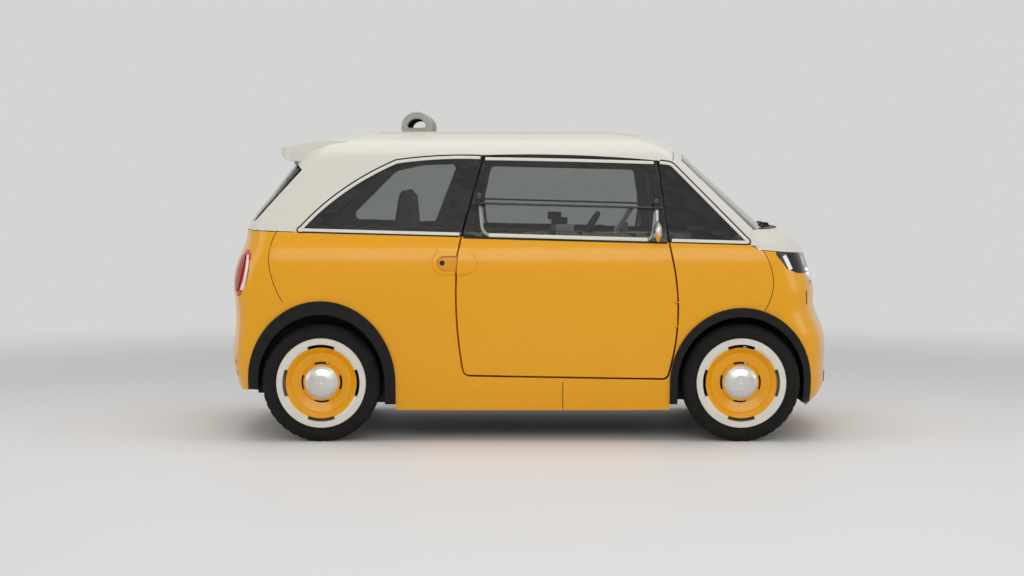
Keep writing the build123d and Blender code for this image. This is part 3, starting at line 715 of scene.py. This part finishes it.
def tyre_profile():
    """The tyre's section, as pairs of radius and distance from its middle plane."""
    half = TYRE_HALF
    floor = TYRE_R - GROOVE_DEEP
    profile = [(RIM_R, 0.060), (RIM_R + 0.004, 0.0662), (WALL_R - 0.016, 0.0775), (WALL_R, half),
               (WALL_R + 0.003, half - 0.0012), (WALL_R + 0.006, half), (WALL_R + 0.022, half - 0.001),
               (SHOULDER_R - 0.004, half - 0.005), (SHOULDER_R + 0.008, half - 0.013),
               (TYRE_R - 0.002, half - 0.022)]
    for start, end in TREAD_RIBS:
        profile += [(TYRE_R, start), (TYRE_R, end), (floor, end - 0.0015), (floor, end - 0.0075)]
    profile[-1] = (floor, 0.0)
    return profile + [(radius, -out) for radius, out in reversed(profile[:-1])]


def tyre_mesh(centre):
    """A tyre about its own axle."""
    mesh = turned(centre, LEFTWARD, tyre_profile(), TYRE_TURNS, closed=True)
    bmesh.ops.recalc_face_normals(mesh, faces=mesh.faces)
    blocks = []
    for face in mesh.faces:
        arm = face.calc_center_median() - centre
        sector = int((math.atan2(arm.z, arm.x) / (2 * math.pi) + 0.5) * TYRE_TURNS)
        inner = min(abs(vertex.co.y - centre.y) for vertex in face.verts)
        lowest = min(math.hypot(v.co.x - centre.x, v.co.z - centre.z) for v in face.verts)
        if lowest > SHOULDER_R and inner > BLOCKS_FROM_Y and sector % BLOCK_EVERY == 0:
            blocks.append(face)
    cut = bmesh.ops.extrude_face_region(mesh, geom=blocks)["geom"]
    bmesh.ops.delete(mesh, geom=blocks, context="FACES")
    for vertex in only(cut, bmesh.types.BMVert):
        inward = (centre - vertex.co) * Vector((1.0, 0.0, 1.0))
        vertex.co += inward.normalized() * TREAD_CUT
    return mesh


for corner in CORNERS:
    tyre = piece(f"road_tyre_{corner}", tyre_mesh(WHEEL_CENTRES[corner]), rubber, f"wheel_{corner}")
    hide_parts(f"tyre_{corner}")


# Lamps and small fittings
OUTER_BAR = [(1.208, 0.887), (1.241, 0.820)]
INNER_BAR = [(-0.545, 0.880), (-0.545, 0.838)]
BAR_WIDTH = 0.024
BAR_PROUD = 0.002
OUTER_BAR_SPACING = 0.008
TAIL_BAR = bow((-1.347, 0.888), (-1.353, 0.805), (-1.376, 0.722))
TAIL_BAR_WIDTH = 0.016
ROUND_LAMP = (-0.490, 0.786)
LENS_R = 0.033
LENS_LIFT = 0.004
TAIL_LAMP = (-0.622, 0.802)
TAIL_HALF = (0.036, 0.090)
TAIL_LIFT = 0.002
TAIL_THICK = 0.003
LOCK_PLACE = (-0.417, 0.854)
LOCK_R = 0.012
LOCK_PROUD = 0.004
SENSORS_Y = {"outer": -0.56, "inner": -0.22}
SENSORS_Z = 0.371
SENSOR_R = 0.011
SENSOR_PROUD = 0.002


def lamps():
    """Light bars on the headlamps, lenses in the round lamps, and the tail lamps' middles and bars."""
    strip("outer_light_bar", OUTER_BAR, BAR_WIDTH, BAR_PROUD, white_lamp,
          spacing=OUTER_BAR_SPACING)
    end_strip("inner_light_bar", "headlamps", -FORWARD, INNER_BAR, BAR_WIDTH, BAR_PROUD, white_lamp)
    lens = inlay(search_tree("round_lamps"), -FORWARD, ROUND_LAMP, LENS_R, LENS_R, LENS_LIFT, LENS_LIFT)
    both_sides("round_lamp_lens", lens, white_lamp)
    red = inlay(search_tree("tail_lamps"), FORWARD, TAIL_LAMP, *TAIL_HALF, TAIL_LIFT, TAIL_THICK)
    both_sides("tail_lamp_middle", red, deep_red)
    strip("tail_lamp_bar", TAIL_BAR, TAIL_BAR_WIDTH, BAR_PROUD, white_lamp, spacing=SHORT_SPACING)


def fittings():
    """The lock button in the handle cup and the sensors in the rear bumper."""
    place, normal = on_skin(*LOCK_PLACE)
    both_sides("lock_button", button(place, normal, LOCK_R, LOCK_PROUD), gloss_black)
    bumper = search_tree("rear_bumper")
    for name, y in SENSORS_Y.items():
        hit, normal, _, _ = bumper.ray_cast(Vector((-FAR, y, SENSORS_Z)), FORWARD)
        sensor = button(hit, normal, SENSOR_R, SENSOR_PROUD)
        both_sides(f"{name}_sensor", sensor, gloss_black)


INTAKE_HALF = 0.34
INTAKE_Z = (0.246, 0.300)
INTAKE_PROUD = 0.0008
INTAKE_THICK = 0.002
INTAKE_SLATS = 3
END_ROUNDING = 0.012
END_TAPER = 0.25
SLAT_INSET = 0.02
SLAT_WIDTH = 0.005
SLAT_PROUD = 0.004
REFLECTOR = [(-0.560, 0.318), (-0.440, 0.318)]
REFLECTOR_WIDTH = 0.024
REFLECTOR_PROUD = 0.003


def nose_and_tail():
    """The slim air intake low in the nose with its slats, and the reflectors low in the tail."""
    low, high = INTAKE_Z
    nose = search_tree("front_bumper")
    mesh = bmesh.new()
    bmesh.ops.create_grid(mesh, x_segments=40, y_segments=6, size=1.0)
    for vertex in mesh.verts:
        across, up = vertex.co.x, vertex.co.y
        y = across * (INTAKE_HALF - END_ROUNDING * up * up)
        z = (low + high) / 2 + up * (high - low) / 2 * (1 - END_TAPER * across ** 8)
        hit, normal, _, _ = nose.ray_cast(Vector((FAR, y, z)), -FORWARD)
        vertex.co = hit + normal * INTAKE_PROUD
    thicken(mesh, INTAKE_THICK)
    piece("nose_intake", mesh, black, "body")
    for number in range(INTAKE_SLATS):
        z = low + (high - low) * (number + 0.5) / INTAKE_SLATS
        slat = [(-INTAKE_HALF + SLAT_INSET, z), (0.0, z)]
        end_strip(f"intake_slat_{number + 1}", "front_bumper", -FORWARD, slat, SLAT_WIDTH, SLAT_PROUD,
                  gloss_black)
    end_strip("tail_reflector", "rear_bumper", FORWARD, REFLECTOR, REFLECTOR_WIDTH, REFLECTOR_PROUD,
              red_lens)


# Cowl and wiper: both bow with the windscreen's foot
LEDGE_STEPS = (0.0, 0.006, -0.006, 0.015, -0.015, 0.03, -0.03)
SCREEN_BOW = 0.28
COWL_HALF = 0.50
COWL_REAR_X = 1.178
COWL_DEEP = 0.066
COWL_TAPER = 0.03
COWL_LIFT = 0.003
COWL_THICK = 0.005
WIPER_FOOT = (1.190, -0.10)
PIVOT_SECTION = ((0.017, -0.01), (0.017, 0.008), (0.013, 0.013), (0.011, 0.019), (0.006, 0.022), (0.0, 0.023))
BLADE_X = 1.156
BLADE_FROM_Y = -0.26
BLADE_LONG = 0.64
BLADE_STEPS = 28
BLADE_LIFT = 0.007
BLADE_BEAD = (0.012, 0.007, 0.006)
WIPER_ARM_BEAD = (0.012, 0.006, 0.004)
WIPER_ARM_ROOT = 0.015
WIPER_ARM_TIP = 0.008
WIPER_ARM_STEPS = 12


def dropped(tree, x, y):
    """The highest point of a surface at a place in plan; a gap takes its neighbour's height."""
    for step in LEDGE_STEPS:
        hit, _, _, _ = tree.ray_cast(Vector((x + step, y, FAR)), -UPWARD)
        if hit:
            return hit
    raise ValueError(f"no surface below {x}, {y}")


def cowl_cover():
    """A black moulded panel over the ledge between the windscreen and the hood."""
    ledge = search_tree("front_hood", "windscreen_frame", "windscreen")
    mesh = bmesh.new()
    bmesh.ops.create_grid(mesh, x_segments=8, y_segments=40, size=1.0)
    for vertex in mesh.verts:
        across, ahead = vertex.co.y, (vertex.co.x + 1) / 2
        y = COWL_HALF * across
        x = COWL_REAR_X - SCREEN_BOW * y * y + (COWL_DEEP - COWL_TAPER * across * across) * ahead
        vertex.co = Vector((x, y, dropped(ledge, x, y).z + COWL_LIFT))
    thicken(mesh, COWL_THICK)
    piece("cowl_cover", mesh, black, "body")


def wiper():
    """A wiper parked at the foot of the windscreen, its pivot in the cowl."""
    pane = search_tree("windscreen")
    foot = dropped(search_tree("front_hood", "windscreen_frame"), *WIPER_FOOT)
    pivot = turned(foot, UPWARD, PIVOT_SECTION, ROUND_STEPS)
    piece("wiper_pivot", pivot, black, "body")
    blade = []
    for i in range(BLADE_STEPS + 1):
        y = BLADE_FROM_Y + BLADE_LONG * i / BLADE_STEPS
        hit, normal, _, _ = pane.ray_cast(Vector((BLADE_X - SCREEN_BOW * y * y, y, FAR)), -UPWARD)
        if hit:
            blade.append((hit + normal * BLADE_LIFT, normal))
    squeegee = swept(bead_outline(*BLADE_BEAD), along_places(blade))
    piece("wiper_blade", squeegee, black, "body")
    middle_place, normal = blade[len(blade) // 2]
    root = foot + UPWARD * WIPER_ARM_ROOT
    tip = middle_place + normal * WIPER_ARM_TIP
    line = [(root.lerp(tip, i / WIPER_ARM_STEPS), normal) for i in range(WIPER_ARM_STEPS + 1)]
    arm = swept(bead_outline(*WIPER_ARM_BEAD), along_places(line))
    piece("wiper_arm", arm, black, "body")


lamps()
fittings()
nose_and_tail()
cowl_cover()
wiper()


# Seats: forms swollen as stuffed cloth, then sewn
VOXEL = 0.007
PRESSURE = 4.0
SWELL_STEPS = 20
SWELL_CAP = 0.014
CHANNEL_DEPTH = 0.008
CHANNEL_WIDTH = 0.009
CHANNEL_OFFSETS = (-0.075, 0.075)
SEWN_FACING = 0.35
SEAT_MIDDLE_Y = -0.285
CUSHION_LOW = Vector((-0.545, -0.486, 0.335))
CUSHION_HIGH = Vector((-0.074, -0.084, 0.452))
CUSHION_EDGE = 0.028
BACK_OUTLINE = ((-0.560, 0.455), (-0.492, 0.455), (-0.580, 1.0), (-0.596, 1.206), (-0.624, 1.206),
                (-0.656, 0.98))
BACK_HALF = 0.182
BACK_EDGE = 0.022
BACK_CORNER = math.radians(25)
NECK_Z = 1.03
NECK_HALF = 0.03
NECK_SEAM_DROP = 0.045
CHANNELS_END_DROP = 0.05
HEADREST_SHARE = 0.66
BASE_LOW = (-0.52, -0.44, 0.2995)
BASE_HIGH = (-0.10, -0.13, 0.338)
BASE_EDGE = 0.008


def swollen(mesh):
    """Remeshes a closed form evenly and swells it as stuffed cloth, with each point's travel capped."""
    scene = bpy.context.scene
    data = bpy.data.meshes.new("pad_start")
    mesh.to_mesh(data)
    mesh.free()
    pad = bpy.data.objects.new("pad_start", data)
    scene.collection.objects.link(pad)
    even = pad.modifiers.new("even_cloth", "REMESH")
    even.mode = "VOXEL"
    even.voxel_size = VOXEL
    start = bpy.data.meshes.new_from_object(pad.evaluated_get(bpy.context.evaluated_depsgraph_get()))
    pad.modifiers.clear()
    pad.data = start
    rest = [vertex.co.copy() for vertex in start.vertices]
    result = bmesh.new()
    result.from_mesh(start)
    cloth = pad.modifiers.new("swell", "CLOTH")
    cloth.settings.use_pressure = True
    cloth.settings.uniform_pressure_force = PRESSURE
    cloth.settings.effector_weights.gravity = 0.0
    for step in range(1, SWELL_STEPS + 1):
        scene.frame_set(step)
    full = pad.evaluated_get(bpy.context.evaluated_depsgraph_get()).data
    result.verts.ensure_lookup_table()
    for i, vertex in enumerate(full.vertices):
        travel = vertex.co - rest[i]
        if travel.length > SWELL_CAP:
            travel = travel.normalized() * SWELL_CAP
        result.verts[i].co = rest[i] + travel
    scene.frame_set(1)
    bpy.data.objects.remove(pad)
    bpy.data.meshes.remove(start)
    result.normal_update()
    return result


def stitch(mesh, axis, places, facing, top=math.inf):
    """Sews channels into a pad: below a height, points near a place on an axis sink where they face a way."""
    sinks = {}
    for vertex in mesh.verts:
        if vertex.normal.dot(facing) < SEWN_FACING or vertex.co.z >= top:
            continue
        gap = min(abs(vertex.co[axis] - place) for place in places)
        sinks[vertex] = CHANNEL_DEPTH * math.exp(-(gap / CHANNEL_WIDTH) ** 2)
    for vertex, depth in sinks.items():
        vertex.co -= vertex.normal * depth


CHANNELS_Y = [SEAT_MIDDLE_Y + step for step in CHANNEL_OFFSETS]


def seat_cushion():
    """The seat cushion with two sewn channels."""
    pad = swollen(block(CUSHION_LOW, CUSHION_HIGH, CUSHION_EDGE))
    stitch(pad, 1, CHANNELS_Y, UPWARD)
    return pad


def seat_back():
    """The tall seat back, drawn in to a headrest, with its sewn channels and neck seam."""
    mesh = bmesh.new()
    low = SEAT_MIDDLE_Y - BACK_HALF
    side = mesh.faces.new([mesh.verts.new((x, low, z)) for x, z in BACK_OUTLINE])
    drawn = bmesh.ops.extrude_face_region(mesh, geom=[side])["geom"]
    grown = only(drawn, bmesh.types.BMVert)
    bmesh.ops.translate(mesh, vec=LEFTWARD * 2 * BACK_HALF, verts=grown)
    for height in (NECK_Z - NECK_HALF, NECK_Z + NECK_HALF):
        cut = mesh.verts[:] + mesh.edges[:] + mesh.faces[:]
        bmesh.ops.bisect_plane(mesh, geom=cut, plane_co=UPWARD * height, plane_no=UPWARD)
    head = [vertex for vertex in mesh.verts if vertex.co.z > NECK_Z]
    for vertex in head:
        vertex.co.y = SEAT_MIDDLE_Y + (vertex.co.y - SEAT_MIDDLE_Y) * HEADREST_SHARE
    bmesh.ops.recalc_face_normals(mesh, faces=mesh.faces)
    sharp = [edge for edge in mesh.edges if edge.calc_face_angle(0.0) > BACK_CORNER]
    bevel_edges(mesh, sharp, BACK_EDGE)
    pad = swollen(mesh)
    stitch(pad, 1, CHANNELS_Y, FORWARD, NECK_Z - CHANNELS_END_DROP)
    stitch(pad, 2, [NECK_Z - NECK_SEAM_DROP], FORWARD)
    return pad


def seats():
    """Both seats: padded cushion and back on a moulded base."""
    cushions = both_sides("seat_cushion", seat_cushion(), seat_cloth, rounding=1)
    backs = both_sides("seat_back", seat_back(), seat_cloth, rounding=1)
    bases = both_sides("seat_base", block(BASE_LOW, BASE_HIGH, BASE_EDGE), black)
    for side, cushion, back, base in zip(("right", "left"), cushions, backs, bases):
        for part in (cushion, back, base):
            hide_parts(f"seat_{side}")


# The folded roof canvas: a flat-footed arch with a hole through it
ROLL_X = -0.555
ROLL_FOOT = 1.480
ROLL_LONG = 0.152
ROLL_TALL = 0.100
ROLL_HALF = 0.330
ROLL_STRAIGHT = 0.3
ROLL_STEP = 0.03
ROLL_STEPS = 20
HOLE_LONG = ROLL_LONG - 0.064
HOLE_TALL = ROLL_TALL - 0.056
HOLE_LIFT = 0.020
SPRING_SHARE = 0.35
CROWN_STEPS = 20
FOLD_LINES = (0.36, 0.70)
FOLD_HALF = 0.06
FOLD_DEEP = 0.009
FOOT_BAND = 0.012
RIPPLE_SCALE = Vector((14.0, 7.0, 14.0))
RIPPLE_DEEP = 0.003


def arch_ring(long, tall, foot):
    """Points round a flat-footed arch in the side view."""
    half = long / 2
    spring = tall * SPRING_SHARE
    rise = tall - spring
    radius = (half * half + rise * rise) / (2 * rise)
    spread = math.asin(min(1.0, half / radius))
    angles = [spread - 2 * spread * i / CROWN_STEPS for i in range(CROWN_STEPS + 1)]
    crown = [Vector((radius * math.sin(a), tall - radius + radius * math.cos(a))) for a in angles]
    base = [Vector((-half * 0.96, 0.003)), Vector((-half * 0.85, 0.0))]
    base += [Vector((half * (i / 4 - 1) * 0.7, 0.0)) for i in range(9)]
    base += [Vector((half * 0.85, 0.0)), Vector((half * 0.96, 0.003))]
    ring = crown + [Vector((-half, spring * 0.4))] + base + [Vector((half, spring * 0.4))]
    return [Vector((ROLL_X + p.x, 0.0, foot + p.y)) for p in ring]


def roll_section():
    """Pairs of y and depth round the roll's wall; depth is 0 at its outer arch and 1 at its hole."""
    end = [(ROLL_HALF - 0.014, 0.0), (ROLL_HALF - 0.005, 0.04), (ROLL_HALF, 0.12)]
    for line in FOLD_LINES:
        end += [(ROLL_HALF, line - FOLD_HALF), (ROLL_HALF - FOLD_DEEP, line), (ROLL_HALF, line + FOLD_HALF)]
    end += [(ROLL_HALF, 0.93), (ROLL_HALF - 0.008, 1.0)]
    across = [-ROLL_STRAIGHT + ROLL_STEP * i for i in range(ROLL_STEPS + 1)]
    section = [(y, 0.0) for y in across] + end
    section += [(-y, 1.0) for y in across]
    return section + [(-y, depth) for y, depth in reversed(end)]


def roof_canvas():
    """The folded roof: a ring drawn along the outer arch, over its rolled end, and back through the hole."""
    outer = arch_ring(ROLL_LONG, ROLL_TALL, ROLL_FOOT)
    inner = arch_ring(HOLE_LONG, HOLE_TALL, ROLL_FOOT + HOLE_LIFT)
    section = roll_section()
    mesh = bmesh.new()
    y, depth = section[0]
    first = [mesh.verts.new(a.lerp(b, depth) + LEFTWARD * y) for a, b in zip(outer, inner)]
    ring = [mesh.edges.new(pair) for pair in zip(first, first[1:] + first[:1])]
    order = {vertex: i for i, vertex in enumerate(first)}
    for y, depth in section[1:] + section[:1]:
        drawn = bmesh.ops.extrude_edge_only(mesh, edges=ring)["geom"]
        grown = only(drawn, bmesh.types.BMVert)
        following = {}
        for vertex in grown:
            others = [edge.other_vert(vertex) for edge in vertex.link_edges]
            following[vertex] = order[next(other for other in others if other in order)]
        for vertex, i in following.items():
            vertex.co = outer[i].lerp(inner[i], depth) + LEFTWARD * y
        ring = [edge for edge in only(drawn, bmesh.types.BMEdge) if set(edge.verts) <= set(grown)]
        order = following
    bmesh.ops.remove_doubles(mesh, verts=mesh.verts, dist=MERGE_DISTANCE)
    bmesh.ops.recalc_face_normals(mesh, faces=mesh.faces)
    mesh.normal_update()
    for vertex in mesh.verts:
        if vertex.co.z > ROLL_FOOT + FOOT_BAND:
            ripple = noise.noise(vertex.co * RIPPLE_SCALE) * RIPPLE_DEEP
            vertex.co += vertex.normal * ripple
    canvas_roll = piece("folded_roof", mesh, canvas, "body", rounding=1)
    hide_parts("roof_roll")


# Cabin details
LATCH_FOOT = ((0.122, -0.632, 0.955), (0.212, -0.602, 1.034))
LATCH_FOOT_EDGE = 0.004
LATCH_HEAD = ((0.105, -0.628, 1.028), (0.178, -0.606, 1.068))
LATCH_HEAD_EDGE = 0.005
DISPLAY_PLACE = Vector((0.470, 0.0, 1.030))
DISPLAY_FACE = Vector((-0.85, 0.0, 0.53)).normalized()
DISPLAY_HALF = (0.138, 0.074)
SCREEN_LIFT = 0.009
SCREEN_THICK = 0.003
SCREEN_EDGE = 0.001


def cabin():
    """Window latches on the door sills and the dark screen on the display."""
    foot = block(*LATCH_FOOT, LATCH_FOOT_EDGE)
    both_sides("latch_foot", foot, pale_plastic, True)
    head = block(*LATCH_HEAD, LATCH_HEAD_EDGE)
    both_sides("latch_head", head, black, True)
    mesh = bmesh.new()
    bmesh.ops.create_grid(mesh, x_segments=1, y_segments=1, size=1.0)
    tall = LEFTWARD.cross(DISPLAY_FACE)
    for vertex in mesh.verts:
        wide, high = vertex.co.x * DISPLAY_HALF[0], vertex.co.y * DISPLAY_HALF[1]
        vertex.co = DISPLAY_PLACE + DISPLAY_FACE * SCREEN_LIFT + LEFTWARD * wide + tall * high
    bmesh.ops.solidify(mesh, geom=mesh.faces[:], thickness=SCREEN_THICK)
    bevel_edges(mesh, mesh.edges[:], SCREEN_EDGE, 2)
    piece("display_screen", mesh, screen, "body")


seats()
roof_canvas()
cabin()


# Studio
BACKDROP = (0.66, 0.66, 0.65, 1.0)
FLOOR_RGB = (0.82, 0.82, 0.82)
FLOOR_SIZE = 80.0
FADE_FROM = 3.2
FADE_TO = 7.5
WORLD_RGB = (0.9, 0.9, 0.9, 1.0)
WORLD_STRENGTH = 0.36

# Each panel's place, size, power and turn
PANELS = {
    "top_light": ((0.0, 0.0, 5.5), (6.0, 4.0), 120.0, (0.0, 0.0, 0.0)),
    "side_light": ((0.5, -7.5, 3.7), (7.0, 3.0), 175.0, (math.radians(66), 0.0, 0.0)),
    "front_light": ((7.0, -2.5, 3.0), (4.0, 3.0), 75.0, (0.0, math.radians(66), math.radians(-20))),
    "rear_light": ((-7.0, -2.5, 3.0), (4.0, 3.0), 75.0, (0.0, math.radians(-66), math.radians(20))),
}


def seen_directly(tree, share=None):
    """A socket that is 1, or a share, for camera, glossy and transmission rays."""
    ray = tree.nodes.new("ShaderNodeLightPath")
    total = ray.outputs["Is Camera Ray"]
    for kind in ("Is Glossy Ray", "Is Transmission Ray"):
        most = tree.nodes.new("ShaderNodeMath")
        most.operation = "MAXIMUM"
        tree.links.new(total, most.inputs[0])
        tree.links.new(ray.outputs[kind], most.inputs[1])
        total = most.outputs["Value"]
    if share is not None:
        part = tree.nodes.new("ShaderNodeMath")
        part.operation = "MULTIPLY"
        tree.links.new(total, part.inputs[0])
        tree.links.new(share, part.inputs[1])
        total = part.outputs["Value"]
    return total


def studio_floor():
    """A pale floor that keeps the shadow near the car and fades to the backdrop far off."""
    bpy.ops.mesh.primitive_plane_add(size=FLOOR_SIZE, location=(0.0, 0.0, 0.0))
    floor = bpy.context.object
    floor.name = "studio_floor"
    made = plain_material("studio_floor", FLOOR_RGB, 0.6)
    tree = made.node_tree
    place = tree.nodes.new("ShaderNodeTexCoord")
    length = tree.nodes.new("ShaderNodeVectorMath")
    length.operation = "LENGTH"
    fade = tree.nodes.new("ShaderNodeMapRange")
    fade.interpolation_type = "SMOOTHSTEP"
    fade.inputs["From Min"].default_value = FADE_FROM
    fade.inputs["From Max"].default_value = FADE_TO
    far = tree.nodes.new("ShaderNodeEmission")
    far.inputs["Color"].default_value = BACKDROP
    mix = tree.nodes.new("ShaderNodeMixShader")
    tree.links.new(place.outputs["Object"], length.inputs[0])
    tree.links.new(length.outputs["Value"], fade.inputs["Value"])
    tree.links.new(seen_directly(tree, fade.outputs["Result"]), mix.inputs["Fac"])
    tree.links.new(tree.nodes["Principled BSDF"].outputs["BSDF"], mix.inputs[1])
    tree.links.new(far.outputs["Emission"], mix.inputs[2])
    tree.links.new(mix.outputs["Shader"], tree.nodes["Material Output"].inputs["Surface"])
    floor.data.materials.append(made)


def studio_lights():
    """Soft panels of light above, beside, before and behind the car."""
    for name, (place, size, power, turn) in PANELS.items():
        lamp = bpy.data.lights.new(name, "AREA")
        lamp.shape = "RECTANGLE"
        lamp.size, lamp.size_y = size
        lamp.energy = power
        holder = bpy.data.objects.new(name, lamp)
        holder.location = place
        holder.rotation_euler = turn
        bpy.context.scene.collection.objects.link(holder)


def studio_world():
    """Even light from all round, and the pale backdrop where the background is seen."""
    world = bpy.data.worlds.new("studio_world")
    bpy.context.scene.world = world
    world.use_nodes = True
    tree = world.node_tree
    lit = tree.nodes["Background"]
    lit.inputs["Color"].default_value = WORLD_RGB
    lit.inputs["Strength"].default_value = WORLD_STRENGTH
    backdrop = tree.nodes.new("ShaderNodeBackground")
    backdrop.inputs["Color"].default_value = BACKDROP
    mix = tree.nodes.new("ShaderNodeMixShader")
    tree.links.new(seen_directly(tree), mix.inputs["Fac"])
    tree.links.new(lit.outputs["Background"], mix.inputs[1])
    tree.links.new(backdrop.outputs["Background"], mix.inputs[2])
    tree.links.new(mix.outputs["Shader"], tree.nodes["World Output"].inputs["Surface"])


def photo_camera():
    """The camera at the photograph's place."""
    lens = bpy.data.cameras.new("photo_camera")
    lens.lens = CAMERA_LENS
    lens.sensor_width = CAMERA_SENSOR
    holder = bpy.data.objects.new("photo_camera", lens)
    holder.location = CAMERA_PLACE
    holder.rotation_euler = (math.radians(90) - CAMERA_PITCH, 0.0, 0.0)
    bpy.context.scene.collection.objects.link(holder)
    bpy.context.scene.camera = holder


studio_floor()
studio_lights()
studio_world()
photo_camera()
bpy.context.scene.view_settings.view_transform = "Standard"
